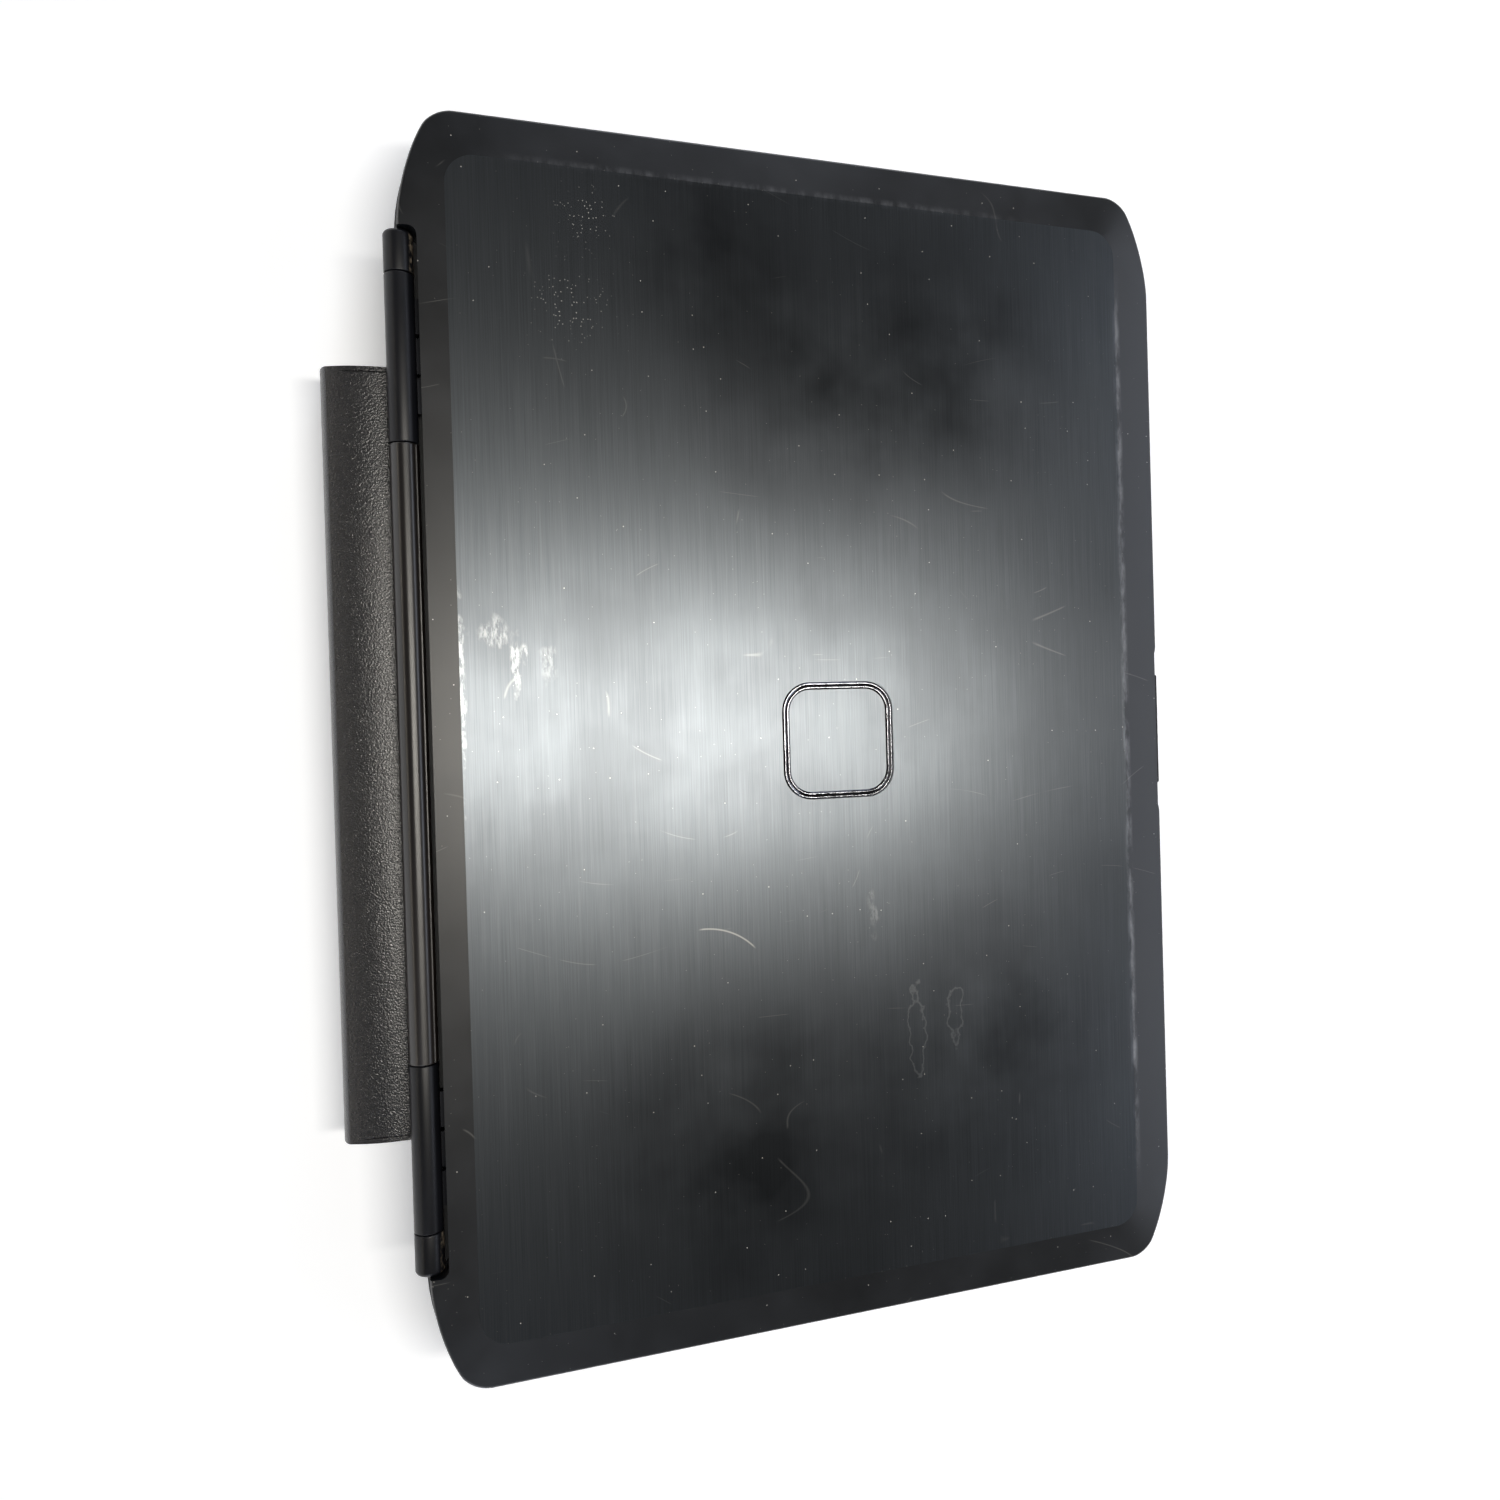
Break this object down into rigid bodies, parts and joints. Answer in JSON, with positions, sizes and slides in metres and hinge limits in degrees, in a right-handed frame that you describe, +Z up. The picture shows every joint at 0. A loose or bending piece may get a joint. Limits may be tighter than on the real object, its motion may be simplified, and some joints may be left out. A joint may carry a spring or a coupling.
{
  "type": "laptop computer",
  "caption": "Closed business laptop with a brushed metal lid, barrel hinge, front latch button and an extended battery behind; opens to a keyboard, touchpad and screen.",
  "frame": {"origin": "middle of the bounding box on the table under the feet", "axes": "+X to the user's right, -Y towards the user and the latch, +Y to the hinge, +Z up"},
  "size_m": [0.3384, 0.249, 0.0318],
  "materials": {
    "lid_metal": "satin dark anodised",
    "brushed_skin": "brushed dark anodised",
    "polished_mark": "polished",
    "bezel_plastic": "fine matt",
    "soft_rubber": "matt",
    "screen_glass": "matt screen",
    "camera_glass": "gloss",
    "flat_cable": "woven tape",
    "steel": "pressed steel",
    "barrel_plastic": "gloss",
    "sleeve_plastic": "satin",
    "case_plastic": "fine grain",
    "deck_metal": "fine brushed",
    "key_plastic": "soft matt",
    "pad_surface": "smooth matt",
    "stick_rubber": "matt",
    "battery_plastic": "leather grain",
    "drive_metal": "cast and milled",
    "tin_plate": "tinned",
    "green_board": "solder mask",
    "copper": "bare copper",
    "fan_plastic": "moulded",
    "socket_plastic": "moulded",
    "video_plastic": "moulded",
    "screw_steel": "blackened"
  },
  "bodies": {
    "base": {"bottom_case": "case_plastic", "top_cover": "deck_metal", "service_door": "case_plastic", "rubber_feet": "soft_rubber", "case_screws": "screw_steel", "hinge_shafts": "steel", "hinge_caps": "sleeve_plastic", "hinge_cover": "barrel_plastic", "keyboard_frame": "bezel_plastic", "keyboard_plate": "tin_plate", "pointing_stick": "stick_rubber", "touchpad": "pad_surface", "hard_drive": "drive_metal", "disc_drive": "tin_plate", "main_board": "green_board", "memory_modules": "green_board", "wireless_card": "green_board", "heat_sink": "copper", "fan_housing": "fan_plastic", "speakers": "socket_plastic", "usb_sockets": "tin_plate", "video_socket": "video_plastic", "network_socket": "tin_plate", "sound_sockets": "socket_plastic", "power_inlet": "socket_plastic", "card_cage": "tin_plate", "dock_connector": "socket_plastic"},
    "lid": {"lid_cover": "lid_metal", "lid_skin": "brushed_skin", "lid_mark": "polished_mark", "lid_bezel": "bezel_plastic", "bezel_bumpers": "soft_rubber", "display_panel": "screen_glass", "camera_module": "camera_glass", "display_cable": "flat_cable", "hinge_arms": "steel", "hinge_sleeves": "sleeve_plastic"},
    "lid_latch": {"latch_button": "sleeve_plastic", "latch_slider": "steel", "latch_springs": "steel"},
    "keys_function": {"keys_function": "key_plastic"},
    "keys_number": {"keys_number": "key_plastic"},
    "keys_upper": {"keys_upper": "key_plastic"},
    "keys_home": {"keys_home": "key_plastic"},
    "keys_lower": {"keys_lower": "key_plastic"},
    "keys_bottom": {"keys_bottom": "key_plastic"},
    "space_bar": {"space_bar": "key_plastic"},
    "pad_button_left": {"pad_button_left": "pad_surface"},
    "pad_button_right": {"pad_button_right": "pad_surface"},
    "stick_button_left": {"stick_button_left": "pad_surface"},
    "stick_button_right": {"stick_button_right": "pad_surface"},
    "power_button": {"power_button": "pad_surface"},
    "wireless_button": {"wireless_button": "pad_surface"},
    "battery": {"battery_pack": "battery_plastic"},
    "battery_latch_left": {"battery_latch_left": "case_plastic"},
    "battery_latch_right": {"battery_latch_right": "case_plastic"},
    "disc_tray": {"disc_tray": "socket_plastic"},
    "eject_button": {"eject_button": "socket_plastic"},
    "disc_spindle": {"disc_spindle": "steel"},
    "fan_rotor": {"fan_rotor": "fan_plastic"}
  },
  "joints": [
    {"name": "lid_hinge", "type": "hinge", "parent": "base", "child": "lid", "pos_m": [0, 0.10345, 0.0266], "axis": [-1, 0, 0], "range_deg": [0, 150]},
    {"name": "latch_slide", "type": "slide", "parent": "lid", "child": "lid_latch", "axis": [0, 1, 0], "range_m": [0, 0.002], "stiffness_N_per_m": 600, "springref_m": -0.002},
    {"name": "keys_function_press", "type": "slide", "parent": "base", "child": "keys_function", "axis": [0, 0, -1], "range_m": [0, 0.002], "stiffness_N_per_m": 1200, "springref_m": -0.002},
    {"name": "keys_number_press", "type": "slide", "parent": "base", "child": "keys_number", "axis": [0, 0, -1], "range_m": [0, 0.002], "stiffness_N_per_m": 1200, "springref_m": -0.002},
    {"name": "keys_upper_press", "type": "slide", "parent": "base", "child": "keys_upper", "axis": [0, 0, -1], "range_m": [0, 0.002], "stiffness_N_per_m": 1200, "springref_m": -0.002},
    {"name": "keys_home_press", "type": "slide", "parent": "base", "child": "keys_home", "axis": [0, 0, -1], "range_m": [0, 0.002], "stiffness_N_per_m": 1200, "springref_m": -0.002},
    {"name": "keys_lower_press", "type": "slide", "parent": "base", "child": "keys_lower", "axis": [0, 0, -1], "range_m": [0, 0.002], "stiffness_N_per_m": 1200, "springref_m": -0.002},
    {"name": "keys_bottom_press", "type": "slide", "parent": "base", "child": "keys_bottom", "axis": [0, 0, -1], "range_m": [0, 0.002], "stiffness_N_per_m": 1200, "springref_m": -0.002},
    {"name": "space_bar_press", "type": "slide", "parent": "base", "child": "space_bar", "axis": [0, 0, -1], "range_m": [0, 0.002], "stiffness_N_per_m": 400, "springref_m": -0.002},
    {"name": "pad_button_left_press", "type": "slide", "parent": "base", "child": "pad_button_left", "axis": [0, 0, -1], "range_m": [0, 0.0008], "stiffness_N_per_m": 300, "springref_m": -0.0008},
    {"name": "pad_button_right_press", "type": "slide", "parent": "base", "child": "pad_button_right", "axis": [0, 0, -1], "range_m": [0, 0.0008], "stiffness_N_per_m": 300, "springref_m": -0.0008},
    {"name": "stick_button_left_press", "type": "slide", "parent": "base", "child": "stick_button_left", "axis": [0, 0, -1], "range_m": [0, 0.0008], "stiffness_N_per_m": 300, "springref_m": -0.0008},
    {"name": "stick_button_right_press", "type": "slide", "parent": "base", "child": "stick_button_right", "axis": [0, 0, -1], "range_m": [0, 0.0008], "stiffness_N_per_m": 300, "springref_m": -0.0008},
    {"name": "power_button_press", "type": "slide", "parent": "base", "child": "power_button", "axis": [0, 0, -1], "range_m": [0, 0.0008], "stiffness_N_per_m": 300, "springref_m": -0.0008},
    {"name": "wireless_button_press", "type": "slide", "parent": "base", "child": "wireless_button", "axis": [0, 0, -1], "range_m": [0, 0.0008], "stiffness_N_per_m": 300, "springref_m": -0.0008},
    {"name": "battery_slide", "type": "slide", "parent": "base", "child": "battery", "axis": [0, 1, 0], "range_m": [0, 0.06]},
    {"name": "battery_latch_left_slide", "type": "slide", "parent": "base", "child": "battery_latch_left", "axis": [-1, 0, 0], "range_m": [0, 0.005], "stiffness_N_per_m": 300, "springref_m": -0.002},
    {"name": "battery_latch_right_slide", "type": "slide", "parent": "base", "child": "battery_latch_right", "axis": [1, 0, 0], "range_m": [0, 0.005], "stiffness_N_per_m": 300, "springref_m": -0.002},
    {"name": "tray_slide", "type": "slide", "parent": "base", "child": "disc_tray", "axis": [1, 0, 0], "range_m": [0, 0.115]},
    {"name": "eject_button_press", "type": "slide", "parent": "disc_tray", "child": "eject_button", "axis": [-1, 0, 0], "range_m": [0, 0.0008], "stiffness_N_per_m": 300, "springref_m": -0.0008},
    {"name": "spindle_spin", "type": "hinge", "parent": "disc_tray", "child": "disc_spindle", "pos_m": [0.105, -0.03585, 0.005], "axis": [0, 0, 1], "continuous": true},
    {"name": "fan_spin", "type": "hinge", "parent": "base", "child": "fan_rotor", "pos_m": [-0.131, 0.07425, 0.0032], "axis": [0, 0, 1], "continuous": true}
  ]
}
